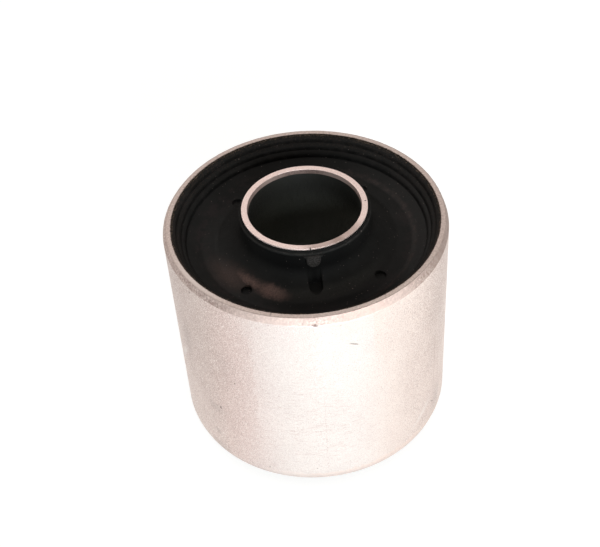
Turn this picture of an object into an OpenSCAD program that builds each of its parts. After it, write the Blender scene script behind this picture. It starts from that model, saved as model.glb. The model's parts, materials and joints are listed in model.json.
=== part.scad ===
// Control arm bushing: a rubber ring bonded between an outer and an inner steel sleeve.
// Millimetres. The origin is the bush's centre, +Z runs along its axis to the moulded top end,
// and -Y is the front, where the gate tab sits.

/* [Outer sleeve] */
// Outer diameter, pressed into the arm's eye
outer_d = 66; // [58:0.5:80]
// Wall of the outer sleeve
outer_wall = 2; // [1.5:0.1:3]
// Length of the outer sleeve
outer_len = 56; // [40:0.5:80]
// Radial depth of the top end's chamfer
top_chamfer_r = 0.7; // [0.3:0.05:1]
// Axial length of the top end's chamfer
top_chamfer_z = 1.6; // [0.5:0.1:4]
// Radial depth of the lead-in taper at the lower end
lead_in_r = 0.5; // [0.2:0.05:1]
// Axial length of the lead-in taper at the lower end
lead_in_z = 1.6; // [0.5:0.1:8]

/* [Inner sleeve] */
// Bore of the inner sleeve
bore_d = 26; // [18:0.5:28]
// Wall of the inner sleeve
inner_wall = 1.5; // [1.2:0.1:3]
// How far the inner sleeve stands past the outer one at each end
inner_proud = 3.25; // [2.4:0.05:8]
// Radial depth of the broken edge at each mouth of the bore
mouth_r = 0.15; // [0.1:0.05:0.5]
// Axial length of the broken edge at each mouth of the bore
mouth_z = 1.1; // [0.4:0.1:2]

/* [Rubber end: stepped outer wall] */
// How far below the outer sleeve's end the rubber starts
rim_drop = 0.2; // [0:0.05:1]
// Number of rounded steps down the outer wall
step_count = 3; // [1:1:4]
// Radial width of one step
step_run = 1; // [0.6:0.05:1.5]
// Height of one step
step_drop = 1.6; // [1:0.05:2]
// How far a step bulges from its straight chord
step_bulge = 0.35; // [0.1:0.05:0.6]
// Radial width of the sloping band below the steps
band_run = 2.6; // [1.5:0.05:3.5]
// Height of the crease where that band ends at the floor
crease_height = 0.4; // [0.1:0.05:0.8]
// Radial width of the crease's slope
crease_run = 0.8; // [0.2:0.05:1]

/* [Rubber end: floor and collar] */
// Depth of the trough's floor below the outer sleeve's end
trough_depth = 6.6; // [6:0.1:12]
// Rubber on the inner sleeve at the collar
collar_wall = 0.5; // [0.3:0.05:2]
// Radial width of the cone that rises from the floor to the collar
cone_run = 6.2; // [3:0.1:7]
// Slope of that cone above the floor
cone_angle = 22; // [10:1:35]
// Radius of the blend from the floor to the cone
floor_blend = 3; // [1:0.5:12]
// Radius of the fillet from the cone to the collar
collar_fillet = 4; // [2:0.1:5]
// How far the collar's rounded lip stands out from its wall
lip_proud = 0.25; // [0.1:0.05:0.8]
// Radius of the lip's rounded edge
lip_round = 0.4; // [0.2:0.05:0.8]
// How far the top of the lip lies below the inner sleeve's end
lip_below = 0.85; // [0.5:0.05:2]
// Thickness of the thin rubber film above the lip
film_wall = 0.3; // [0.2:0.05:0.5]
// How far the film ends below the inner sleeve's end
film_below = 0.35; // [0.1:0.05:0.5]

/* [Rubber end: moulding marks] */
// Diameter of the holes left by the mould's locating pins
pin_d = 2.65; // [1.5:0.05:3]
// Number of locating pins
pin_count = 4; // [2:1:8]
// Depth of the pin holes below the floor
pin_depth = 0.6; // [0.4:0.1:10]
// Diameter of the circle that the pin holes lie on
pin_circle_d = 43; // [38:0.5:46]
// Angle of the first pin hole from +X
pin_angle = 48; // [0:1:90]
// Angle of the gate tab from +X
gate_angle = -86; // [-180:1:180]
// Width of the gate tab
tab_w = 3.2; // [1.5:0.1:5]
// Height of the gate tab below the top of the lip
tab_h = 3.7; // [2:0.1:5]
// How far the gate tab stands out past the lip
tab_proud = 0.6; // [0:0.05:1]
// Width of the round-ended slot below the tab
slot_w = 3.3; // [1.5:0.1:5]
// Radial length of the slot from the collar's wall
slot_run = 4.5; // [2.6:0.1:6]
// Depth of the slot below the trough's floor
slot_depth = 0.3; // [0.1:0.1:3]

/* [Hidden] */
$fn = 96;
arc_steps = 10;
cut_over = 1;
steel_colour = "#d8c8c2";
inner_steel_colour = "#d2b9b4";
rubber_colour = "#1c1b1b";

outer_r = outer_d / 2;
outer_end = outer_len / 2;
rubber_r = outer_r - outer_wall;
bore_r = bore_d / 2;
inner_r = bore_r + inner_wall;
inner_end = outer_end + inner_proud;

floor_z = outer_end - trough_depth;
rim_z = outer_end - rim_drop;
steps_r = rubber_r - step_count * step_run;
crease_r = steps_r - band_run;
crease_foot_r = crease_r - crease_run;
collar_r = inner_r + collar_wall;
toe_r = collar_r + cone_run;
lip_r = collar_r + lip_proud;
lip_z = inner_end - lip_below;
tab_r = lip_r + tab_proud;
slot_end_r = collar_r + slot_run;

// Points of an arc from one angle to another about a centre
function arc(centre, radius, from, to) =
    [for (i = [0 : arc_steps])
        let (a = from + (to - from) * i / arc_steps)
        [centre.x + radius * cos(a), centre.y + radius * sin(a)]];

// Points of a shallow arc from a to b that bulges to the left of the way from a to b
function bulge_arc(a, b, bulge) =
    let (
        chord = norm(b - a),
        along = (b - a) / chord,
        left = [-along.y, along.x],
        radius = chord * chord / (8 * bulge) + bulge / 2,
        centre = (a + b) / 2 - left * (radius - bulge),
        start = atan2(a.y - centre.y, a.x - centre.x),
        half = asin(chord / 2 / radius)
    )
    arc(centre, radius, start, start - 2 * half);

// Tube with a bevel at the lower and the upper end of its outside
module sleeve_section(inside_r, outside_r, half_len, low_r, low_z, high_r, high_z) {
    polygon([
        [inside_r, -half_len],
        [outside_r - low_r, -half_len],
        [outside_r, -half_len + low_z],
        [outside_r, half_len - high_z],
        [outside_r - high_r, half_len],
        [inside_r, half_len]
    ]);
}

// Rubber along the outer sleeve: rounded steps, the sloping band and the crease
module stepped_wall_section() {
    step = [step_run, step_drop];
    rim = [rubber_r, rim_z];
    steps = [for (i = [step_count : -1 : 1])
        each bulge_arc(rim - i * step, rim - (i - 1) * step, step_bulge)];
    polygon(concat(
        [
            [rubber_r, 0],
            [crease_foot_r, 0],
            [crease_foot_r, floor_z],
            [crease_r, floor_z + crease_height]
        ],
        steps
    ));
}

// Rubber along the inner sleeve: the cone, its two blends and the collar's wall
module hub_section() {
    apex = [collar_r, floor_z + cone_run * tan(cone_angle)];
    fillet_reach = collar_fillet / tan(45 + cone_angle / 2);
    fillet_centre = apex + [collar_fillet, fillet_reach];
    blend_reach = floor_blend * tan(cone_angle / 2);
    blend_centre = [toe_r + blend_reach, floor_z + floor_blend];
    polygon(concat(
        [[inner_r, 0], [toe_r + blend_reach, 0]],
        arc(blend_centre, floor_blend, 270, 270 - cone_angle),
        arc(fillet_centre, collar_fillet, 270 - cone_angle, 180),
        [[collar_r, lip_z - lip_round], [inner_r, lip_z - lip_round]]
    ));
}

// Rounded lip round the top of the collar, with the thin film above it
module lip_section() {
    translate([inner_r, lip_z - 2 * lip_round])
        square([lip_r - lip_round - inner_r, 2 * lip_round]);
    translate([lip_r - lip_round, lip_z - lip_round])
        circle(r = lip_round);
    translate([inner_r, lip_z - lip_round])
        square([film_wall, lip_below + lip_round - film_below]);
}

// Upper half of the rubber's section
module rubber_half_section() {
    intersection() {
        union() {
            translate([inner_r, 0]) square([rubber_r - inner_r, floor_z]);
            stepped_wall_section();
            hub_section();
            lip_section();
        }
        translate([inner_r, 0]) square([rubber_r - inner_r, inner_end]);
    }
}

// Holes left in the floor by the mould's locating pins
module pin_holes() {
    for (i = [0 : pin_count - 1])
        rotate(pin_angle + i * 360 / pin_count)
            translate([pin_circle_d / 2, 0, floor_z - pin_depth])
                cylinder(d = pin_d, h = inner_end - floor_z + pin_depth);
}

// Round-ended slot from the collar's wall out over the cone
module gate_slot() {
    slot_h = lip_z - floor_z + slot_depth;
    rotate(gate_angle)
        translate([0, 0, floor_z - slot_depth])
            difference() {
                union() {
                    translate([0, -slot_w / 2, 0]) cube([slot_end_r - slot_w / 2, slot_w, slot_h]);
                    translate([slot_end_r - slot_w / 2, 0, 0]) cylinder(d = slot_w, h = slot_h);
                }
                translate([0, 0, -cut_over]) cylinder(r = collar_r, h = slot_h + 2 * cut_over);
            }
}

// Gate tab under the lip, with a round lower end
module gate_tab() {
    round_z = lip_z - tab_h + tab_w / 2;
    tab_reach = tab_r - inner_r;
    rotate(gate_angle)
        translate([inner_r, 0, 0])
            difference() {
                union() {
                    translate([0, -tab_w / 2, round_z])
                        cube([tab_reach, tab_w, lip_z - lip_round - round_z]);
                    translate([0, 0, round_z])
                        rotate([0, 90, 0]) cylinder(d = tab_w, h = tab_reach);
                }
                translate([-inner_r, 0, 0]) cylinder(r = inner_r, h = inner_end);
            }
}

module outer_sleeve() {
    color(steel_colour)
        rotate_extrude()
            sleeve_section(
                rubber_r, outer_r, outer_end,
                lead_in_r, lead_in_z, top_chamfer_r, top_chamfer_z
            );
}

module rubber_body() {
    color(rubber_colour)
        union() {
            difference() {
                rotate_extrude() {
                    rubber_half_section();
                    mirror([0, 1]) rubber_half_section();
                }
                pin_holes();
                gate_slot();
            }
            gate_tab();
        }
}

module inner_sleeve() {
    color(inner_steel_colour)
        rotate_extrude()
            polygon([
                [bore_r + mouth_r, -inner_end],
                [inner_r, -inner_end],
                [inner_r, inner_end],
                [bore_r + mouth_r, inner_end],
                [bore_r, inner_end - mouth_z],
                [bore_r, -inner_end + mouth_z]
            ]);
}

outer_sleeve();
rubber_body();
inner_sleeve();
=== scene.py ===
"""Looks of a control arm bushing: a rubber ring bonded between an outer and an inner steel sleeve.

Outlines are drawn in millimetres as (radius, height) and become meshes in metres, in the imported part's
frame: +Z runs along the bush's axis to the moulded top end, and -Y is the front, where the gate tab sits.
"""
import json
import math
from collections import namedtuple

import bmesh
import bpy
from mathutils import Matrix, Vector, noise


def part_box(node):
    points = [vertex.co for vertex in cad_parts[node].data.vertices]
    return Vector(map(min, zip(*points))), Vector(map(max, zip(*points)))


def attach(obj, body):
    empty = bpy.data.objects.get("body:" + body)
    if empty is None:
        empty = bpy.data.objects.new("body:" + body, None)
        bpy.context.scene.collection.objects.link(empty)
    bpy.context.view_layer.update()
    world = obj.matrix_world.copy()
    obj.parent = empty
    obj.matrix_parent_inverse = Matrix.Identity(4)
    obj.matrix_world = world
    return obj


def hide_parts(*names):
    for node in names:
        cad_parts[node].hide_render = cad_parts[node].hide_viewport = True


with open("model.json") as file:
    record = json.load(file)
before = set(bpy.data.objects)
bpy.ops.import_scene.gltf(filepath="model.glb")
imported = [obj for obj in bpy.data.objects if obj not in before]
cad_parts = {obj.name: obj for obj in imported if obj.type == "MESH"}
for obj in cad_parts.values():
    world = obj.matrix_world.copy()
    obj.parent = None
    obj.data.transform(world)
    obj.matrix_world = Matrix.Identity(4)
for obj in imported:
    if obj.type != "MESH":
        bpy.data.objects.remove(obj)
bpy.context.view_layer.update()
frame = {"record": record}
MM = 0.001


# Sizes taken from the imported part, in millimetres

def ring_size(node):
    """Outside radius and half length of a round node."""
    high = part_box(node)[1]
    return round(high.x / MM, 3), round(high.z / MM, 3)


MOUNTS = {mount["name"]: mount for mount in frame["record"]["mounts"]}
OUTER_R, OUTER_END = ring_size("outer_sleeve")
RUBBER_R, FILM_END = ring_size("rubber_body")
INNER_R, INNER_END = ring_size("inner_sleeve")
BORE_R = MOUNTS["bore"]["dims"]["r_mm"]

# Steel edges, in millimetres
CHAMFER_R, CHAMFER_Z = 0.7, 1.6
LEAD_IN_R, LEAD_IN_Z = 0.5, 1.6
CHAMFER_LEAN, CHAMFER_LEAN_ANGLE = 0.5, -40.0
RIM_BEVEL = 0.2
MOUTH_R, MOUTH_Z = 0.15, 1.1

# The rubber's moulded end, in millimetres and degrees
RIM_DROP, FLASH_WALL = 0.2, 0.08
STEP_COUNT, STEP_RUN, STEP_DROP, STEP_BULGE = 3, 1.0, 1.6, 0.35
BAND_RUN, CREASE_HEIGHT, CREASE_RUN = 2.6, 0.4, 0.8
TROUGH_DEPTH = 6.6
COLLAR_WALL, CONE_RUN, CONE_ANGLE = 0.5, 6.2, 22.0
FLOOR_BLEND, COLLAR_FILLET = 3.0, 4.0
LIP_PROUD, LIP_ROUND, LIP_BELOW, FILM_WALL = 0.25, 0.4, 0.85, 0.3
PIN_COUNT, PIN_CIRCLE, PIN_R, PIN_DEPTH, PIN_ANGLE = 4, 21.5, 1.325, 0.6, 48.0
GATE_ANGLE = -86.0
TAB_W, TAB_H, TAB_PROUD = 3.2, 3.7, 0.6
SLOT_W, SLOT_RUN, SLOT_DEPTH = 3.3, 4.5, 0.3

FLOOR_Z = OUTER_END - TROUGH_DEPTH
RIM_Z = OUTER_END - RIM_DROP
CREASE_R = RUBBER_R - STEP_COUNT * STEP_RUN - BAND_RUN
COLLAR_R = INNER_R + COLLAR_WALL
TOE_R = COLLAR_R + CONE_RUN
LIP_R = COLLAR_R + LIP_PROUD
LIP_Z = INNER_END - LIP_BELOW
TAB_R = LIP_R + TAB_PROUD


class Bench:
    """Adds nodes to one node tree and wires them."""

    def __init__(self, tree):
        self.tree = tree

    def feed(self, socket, value):
        if isinstance(value, bpy.types.NodeSocket):
            self.tree.links.new(value, socket)
        else:
            socket.default_value = value

    def node(self, kind, inputs=None, **settings):
        made = self.tree.nodes.new(kind)
        for name, value in settings.items():
            setattr(made, name, value)
        for key, value in (inputs or {}).items():
            self.feed(made.inputs[key], value)
        return made

    def math(self, operation, first, second=0.0, third=0.0):
        inputs = {0: first, 1: second, 2: third}
        return self.node("ShaderNodeMath", inputs, operation=operation).outputs[0]

    def vector(self, operation, first, second=(0.0, 0.0, 0.0)):
        inputs = {0: first, 1: second}
        return self.node("ShaderNodeVectorMath", inputs, operation=operation).outputs[0]

    def parts(self, vector):
        return self.node("ShaderNodeSeparateXYZ", {0: vector}).outputs

    def joined(self, x, y, z):
        return self.node("ShaderNodeCombineXYZ", {0: x, 1: y, 2: z}).outputs[0]

    def ramp(self, value, low, high, to_low=0.0, to_high=1.0):
        inputs = {"Value": value, "From Min": low, "From Max": high, "To Min": to_low, "To Max": to_high}
        return self.node("ShaderNodeMapRange", inputs, interpolation_type="SMOOTHSTEP").outputs[0]

    def blend(self, share, first, second, mode="MIX"):
        made = self.node("ShaderNodeMix", data_type="RGBA", blend_type=mode)
        for index, value in ((0, share), (6, first), (7, second)):
            self.feed(made.inputs[index], value)
        return made.outputs[2]


# Outlines

Corner = namedtuple("Corner", "r z soft wander lean", defaults=(0.0, (0.0, 0.0), (0.0, 0.0)))
SOFT_STEPS = 4


def arc(centre, radius, start, end, steps):
    """Points of an arc about a centre, from one angle to another in degrees."""
    angles = [math.radians(start + (end - start) * i / steps) for i in range(steps + 1)]
    return [(centre[0] + radius * math.cos(a), centre[1] + radius * math.sin(a)) for a in angles]


def bulged(a, b, bulge, steps):
    """Points of a shallow arc from a to b that bulges to the right of the way from a to b."""
    a, b = Vector(a), Vector(b)
    along = b - a
    right = Vector((along.y, -along.x)).normalized()
    shares = [i / steps for i in range(steps + 1)]
    return [tuple(a + along * t + right * bulge * 4 * t * (1 - t)) for t in shares]


def softened(corners):
    """The closed outline with each soft corner turned into a small curve between two close points."""
    made = []
    count = len(corners)
    for i, corner in enumerate(corners):
        if not corner.soft:
            made.append(corner)
            continue
        here = Vector((corner.r, corner.z))
        back = Vector(corners[i - 1][:2]) - here
        ahead = Vector(corners[(i + 1) % count][:2]) - here
        reach = min(corner.soft, 0.4 * back.length, 0.4 * ahead.length)
        start = here + back.normalized() * reach
        end = here + ahead.normalized() * reach
        points = [here + (start - here) * 1.2]
        for step in range(SOFT_STEPS + 1):
            t = step / SOFT_STEPS
            points.append(start * (1 - t) ** 2 + here * 2 * t * (1 - t) + end * t ** 2)
        points.append(here + (end - here) * 1.2)
        made += [corner._replace(r=p.x, z=p.y, soft=0.0) for p in points]
    return made


# Turned rings

def geometry_tree(name, inputs):
    """An empty geometry tree with named inputs, each given as (name, socket type)."""
    tree = bpy.data.node_groups.new(name, "GeometryNodeTree")
    tree.interface.new_socket("Geometry", in_out="OUTPUT", socket_type="NodeSocketGeometry")
    for label, kind in inputs:
        tree.interface.new_socket(label, in_out="INPUT", socket_type=kind)
    bench = Bench(tree)
    return tree, bench, bench.node("NodeGroupInput").outputs


def close_tree(bench, geometry, material):
    """Ends a geometry tree with plain faces of one material."""
    plain = bench.node("GeometryNodeRealizeInstances", {"Geometry": geometry}).outputs[0]
    painted = bench.node("GeometryNodeSetMaterial", {"Geometry": plain, "Material": material}).outputs[0]
    bench.node("NodeGroupOutput", {0: painted})


def turned_tree():
    """Turns an outline about the axis. Points that wander or lean leave the true circle."""
    tree, bench, given = geometry_tree("turned ring", (
        ("Outline", "NodeSocketObject"),
        ("Segments", "NodeSocketInt"),
        ("Wander Detail", "NodeSocketFloat"),
        ("Seed", "NodeSocketFloat"),
        ("Lean Angle", "NodeSocketFloat"),
        ("Material", "NodeSocketMaterial"),
    ))
    outline = bench.node("GeometryNodeObjectInfo", {"Object": given["Outline"]}).outputs["Geometry"]
    size = bench.node("GeometryNodeAttributeDomainSize", {"Geometry": outline}, component="MESH")
    count = size.outputs["Point Count"]
    grid = bench.node("GeometryNodeMeshGrid", {
        "Size X": 1.0,
        "Size Y": 1.0,
        "Vertices X": bench.math("ADD", count, 1.0),
        "Vertices Y": bench.math("ADD", given["Segments"], 1.0),
    }).outputs["Mesh"]
    place = bench.parts(bench.node("GeometryNodeInputPosition").outputs[0])
    row = bench.math("ROUND", bench.math("MULTIPLY", bench.math("ADD", place["X"], 0.5), count))
    row = bench.math("MODULO", row, count)
    turn = bench.math("MULTIPLY", bench.math("ADD", place["Y"], 0.5), math.tau)

    def sampled(value):
        inputs = {"Geometry": outline, "Value": value, "Index": row}
        node = bench.node("GeometryNodeSampleIndex", inputs, data_type="FLOAT_VECTOR", domain="POINT")
        return bench.parts(node.outputs[0])

    def named(attribute):
        inputs = {"Name": attribute}
        node = bench.node("GeometryNodeInputNamedAttribute", inputs, data_type="FLOAT_VECTOR")
        return sampled(node.outputs["Attribute"])

    point = sampled(bench.node("GeometryNodeInputPosition").outputs[0])
    wander = named("wander")
    lean = named("lean")
    cosine = bench.math("COSINE", turn)
    sine = bench.math("SINE", turn)
    uneven = bench.node("ShaderNodeTexNoise", {
        "Vector": bench.joined(cosine, sine, 0.0),
        "W": given["Seed"],
        "Scale": given["Wander Detail"],
        "Detail": 3.0,
    }, noise_dimensions="4D").outputs["Color"]
    uneven = bench.parts(bench.vector("SUBTRACT", uneven, (0.5, 0.5, 0.5)))
    leaning = bench.math("COSINE", bench.math("SUBTRACT", turn, given["Lean Angle"]))

    def strayed(value, axis):
        moved = bench.math("MULTIPLY_ADD", lean[axis], leaning, value)
        return bench.math("MULTIPLY_ADD", wander[axis], uneven[axis], moved)

    radius = strayed(point["X"], "X")
    height = strayed(point["Z"], "Z")
    spot = bench.joined(bench.math("MULTIPLY", radius, cosine), bench.math("MULTIPLY", radius, sine), height)
    ring = bench.node("GeometryNodeSetPosition", {"Geometry": grid, "Position": spot}).outputs[0]
    ring = bench.node("GeometryNodeMergeByDistance", {"Geometry": ring, "Distance": 0.001 * MM}).outputs[0]
    ring = bench.node("GeometryNodeSetShadeSmooth", {"Geometry": ring}).outputs[0]
    close_tree(bench, ring, given["Material"])
    return tree


def put_object(name, mesh):
    piece = bpy.data.objects.new(name, mesh)
    bpy.context.scene.collection.objects.link(piece)
    return piece


def add_tree(piece, tree, inputs):
    """Adds a geometry tree to a piece and sets its named inputs."""
    modifier = piece.modifiers.new(tree.name, "NODES")
    modifier.node_group = tree
    sockets = {s.name: s.identifier for s in tree.interface.items_tree if s.in_out == "INPUT"}
    for label, value in inputs.items():
        modifier[sockets[label]] = value


def fix_mesh(piece):
    """Replaces the piece's modifiers by the plain mesh that they make, with its faces outwards."""
    graph = bpy.context.evaluated_depsgraph_get()
    mesh = bpy.data.meshes.new_from_object(piece.evaluated_get(graph))
    piece.modifiers.clear()
    piece.data = mesh
    shell = bmesh.new()
    shell.from_mesh(mesh)
    bmesh.ops.remove_doubles(shell, verts=shell.verts, dist=0.0005 * MM)
    bmesh.ops.recalc_face_normals(shell, faces=shell.faces)
    shell.to_mesh(mesh)
    shell.free()
    mesh.shade_smooth()
    mesh.set_sharp_from_angle(angle=math.radians(SHARP_ANGLE))


SHARP_ANGLE = 38.0


def outline_object(name, corners):
    """A row of points that holds an outline for the turned tree, with what each point strays by."""
    mesh = bpy.data.meshes.new(name)
    mesh.from_pydata([(c.r * MM, 0.0, c.z * MM) for c in corners], [], [])
    for label in ("wander", "lean"):
        values = [getattr(c, label) for c in corners]
        attribute = mesh.attributes.new(label, "FLOAT_VECTOR", "POINT")
        attribute.data.foreach_set("vector", [v for r, z in values for v in (r * MM, 0.0, z * MM)])
    return put_object(name, mesh)


def turned_piece(name, corners, material, segments, wander_detail=1.0, seed=0.0, lean_angle=0.0):
    """A closed ring of the given outline."""
    outline = outline_object(name + "_outline", softened(corners))
    piece = put_object(name, bpy.data.meshes.new(name))
    add_tree(piece, TURNED, {
        "Outline": outline,
        "Segments": segments,
        "Wander Detail": wander_detail,
        "Seed": seed,
        "Lean Angle": math.radians(lean_angle),
        "Material": material,
    })
    fix_mesh(piece)
    bpy.data.objects.remove(outline)
    return piece


# The three pieces

def wall_rows(radius, start, end, spacing):
    """Points down a straight wall, between its two ends."""
    count = round(abs(end - start) / spacing)
    return [Corner(radius, start + (end - start) * i / count) for i in range(1, count)]


def outer_sleeve_outline():
    chamfer_foot = OUTER_END - CHAMFER_Z
    lead_in_foot = LEAD_IN_Z - OUTER_END
    ragged = (0.0, 0.35)
    lean = (0.0, -CHAMFER_LEAN)
    return [
        Corner(RUBBER_R, OUTER_END - RIM_BEVEL, soft=0.05),
        Corner(RUBBER_R + RIM_BEVEL, OUTER_END, soft=0.08, wander=(0.15, 0.0)),
        Corner(OUTER_R - CHAMFER_R, OUTER_END, soft=0.09, wander=(0.25, 0.0)),
        Corner(OUTER_R, chamfer_foot, soft=0.12, wander=ragged, lean=lean),
        *wall_rows(OUTER_R, chamfer_foot - 1.0, lead_in_foot, 1.0),
        Corner(OUTER_R, lead_in_foot, soft=0.15, wander=(0.0, 0.4)),
        Corner(OUTER_R - LEAD_IN_R, -OUTER_END, soft=0.09),
        Corner(RUBBER_R + RIM_BEVEL, -OUTER_END, soft=0.08),
        Corner(RUBBER_R, RIM_BEVEL - OUTER_END, soft=0.05),
    ]


def inner_sleeve_outline():
    end = INNER_END
    foot = INNER_END - MOUTH_Z
    worn = (0.1, 0.06)
    return [
        Corner(BORE_R, foot, soft=0.2),
        Corner(BORE_R + MOUTH_R, end, soft=0.12, wander=worn),
        Corner(INNER_R, end, soft=0.12, wander=worn),
        Corner(INNER_R, -end, soft=0.12, wander=worn),
        Corner(BORE_R + MOUTH_R, -end, soft=0.12, wander=worn),
        Corner(BORE_R, -foot, soft=0.2),
    ]


def rubber_end_outline():
    """The moulded top face, from the rim at the outer sleeve in to the film on the inner one."""
    flash = [
        Corner(RUBBER_R, RIM_Z - 0.25),
        Corner(RUBBER_R + 0.02, OUTER_END + 0.005, 0.03, wander=(0.4, 0.08), lean=(0.04, 0.02)),
        Corner(RUBBER_R - FLASH_WALL, OUTER_END + 0.02, 0.04, wander=(0.2, 0.3), lean=(0.0, 0.05)),
    ]
    step = Vector((STEP_RUN, STEP_DROP))
    stops = [Vector((RUBBER_R, RIM_Z)) - i * step for i in range(STEP_COUNT + 1)]
    stops[0] = Vector((RUBBER_R - FLASH_WALL, RIM_Z - 0.1))
    steps = [Corner(*stops[0])]
    for high, low in zip(stops, stops[1:]):
        bead = [Corner(*p) for p in bulged(high, low, STEP_BULGE, 8)]
        steps += bead[1:-1] + [bead[-1]._replace(soft=0.15)]
    crease = [
        Corner(CREASE_R, FLOOR_Z + CREASE_HEIGHT, soft=0.3),
        Corner(CREASE_R - CREASE_RUN, FLOOR_Z, soft=0.3),
    ]
    angle = math.radians(CONE_ANGLE)
    blend_reach = FLOOR_BLEND * math.tan(angle / 2)
    floor = arc((TOE_R + blend_reach, FLOOR_Z + FLOOR_BLEND), FLOOR_BLEND, 270, 270 - CONE_ANGLE, 12)
    apex_z = FLOOR_Z + CONE_RUN * math.tan(angle)
    fillet_reach = COLLAR_FILLET / math.tan(math.radians(45) + angle / 2)
    fillet = arc((COLLAR_R + COLLAR_FILLET, apex_z + fillet_reach), COLLAR_FILLET, 270 - CONE_ANGLE, 180, 12)
    hub = [Corner(*p) for p in floor + fillet]
    lip_centre = (LIP_R - LIP_ROUND, LIP_Z - LIP_ROUND)
    under_lip = -math.degrees(math.acos((COLLAR_R - lip_centre[0]) / LIP_ROUND))
    lip = [Corner(*p) for p in arc(lip_centre, LIP_ROUND, under_lip, 90, 10)]
    lip[0] = lip[0]._replace(soft=0.08)
    film = [
        Corner(INNER_R + FILM_WALL, LIP_Z, soft=0.06),
        Corner(INNER_R + FILM_WALL, FILM_END, soft=0.06, wander=(0.2, 0.25)),
        Corner(INNER_R, FILM_END, wander=(0.0, 0.25)),
    ]
    return flash + steps + crease + hub + lip + film


def rubber_outline():
    top = rubber_end_outline()
    return top + [c._replace(z=-c.z, wander=(c.wander[0], -c.wander[1])) for c in reversed(top)]


def gate_frame():
    """Place of the gate: x runs outwards from the axis, y round it and z up, in millimetres."""
    return Matrix.Rotation(math.radians(GATE_ANGLE), 4, "Z") @ Matrix.Scale(MM, 4)


def loft(name, rings):
    """A closed shell through rings of points with equal counts, capped at both ends."""
    count = len(rings[0])
    faces = [tuple(range(count)), tuple(range((len(rings) - 1) * count, len(rings) * count))]
    for i in range(len(rings) - 1):
        for k in range(count):
            a, b = i * count + k, i * count + (k + 1) % count
            faces.append((a, b, b + count, a + count))
    mesh = bpy.data.meshes.new(name)
    mesh.from_pydata([p for ring in rings for p in ring], [], faces)
    mesh.transform(gate_frame())
    piece = put_object(name, mesh)
    fix_mesh(piece)
    return piece


def tongue(half_w, top, foot, flare):
    """Outline of the gate tab as (across, height): it widens into the lip and has a round foot."""
    round_z = foot + half_w
    sides = []
    for i in range(9):
        z = top + (round_z - top) * i / 8
        lift = max(0.0, 1 - (top - z) / flare)
        sides.append((half_w + 0.55 * flare * lift ** 2, z))
    foot_arc = arc((0.0, round_z), half_w, 0, -180, 16)[1:-1]
    top_row = [(-sides[0][0] + 2 * sides[0][0] * i / 8, top) for i in range(1, 8)]
    return sides + foot_arc + [(-y, z) for y, z in reversed(sides)] + top_row


def gate_tab():
    """The gate tab: a tongue under the lip with a torn, uneven face."""
    half_w = TAB_W / 2
    outline = tongue(half_w, LIP_Z - LIP_ROUND, LIP_Z - TAB_H, 1.2)
    low, high = LIP_Z - TAB_H + half_w, LIP_Z - LIP_ROUND - 0.6
    edge = 0.35

    def ring(share, reach, rough):
        points = []
        for y, z in outline:
            middle = min(max(z, low), high)
            y, z = y * (1 - share), z + (middle - z) * share
            torn = noise.fractal(Vector((y, z, 3.7)) * 2.2, 0.6, 2.0, 4)
            points.append((reach + rough * torn, y, z))
        return points

    rings = [ring(0.0, INNER_R + 0.15, 0.0), ring(0.0, TAB_R - edge, 0.02)]
    for i in range(1, 12):
        share = i / 11.2
        fall = max(0.0, 1 - share * half_w / edge)
        rings.append(ring(share, TAB_R - edge * (1 - math.sqrt(1 - fall ** 2)), 0.16))
    return loft("gate_tab", rings)


def slot_cutter():
    """Round-ended slot from the collar's wall out over the cone, a little narrower at its floor."""
    end = COLLAR_R + SLOT_RUN - SLOT_W / 2
    foot = FLOOR_Z - SLOT_DEPTH
    levels = ((foot, 0.4), (foot + 0.4, 0.12), (LIP_Z - TAB_H + 0.4, 0.0))
    rings = []
    for z, draft in levels:
        half_w = SLOT_W / 2 - draft
        nose = [(x, y, z) for x, y in arc((end, 0.0), half_w, -90, 90, 20)]
        rings.append([(COLLAR_R - 0.02, -half_w, z)] + nose + [(COLLAR_R - 0.02, half_w, z)])
    return loft("slot_cutter", rings)


def pin_cutter_outline():
    foot = FLOOR_Z - PIN_DEPTH
    return [
        Corner(0.0, foot),
        Corner(PIN_R * 0.94, foot, soft=0.15),
        Corner(PIN_R, foot + 0.4),
        Corner(PIN_R + 0.05, FLOOR_Z + 2.0),
        Corner(0.0, FLOOR_Z + 2.0),
    ]


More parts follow.
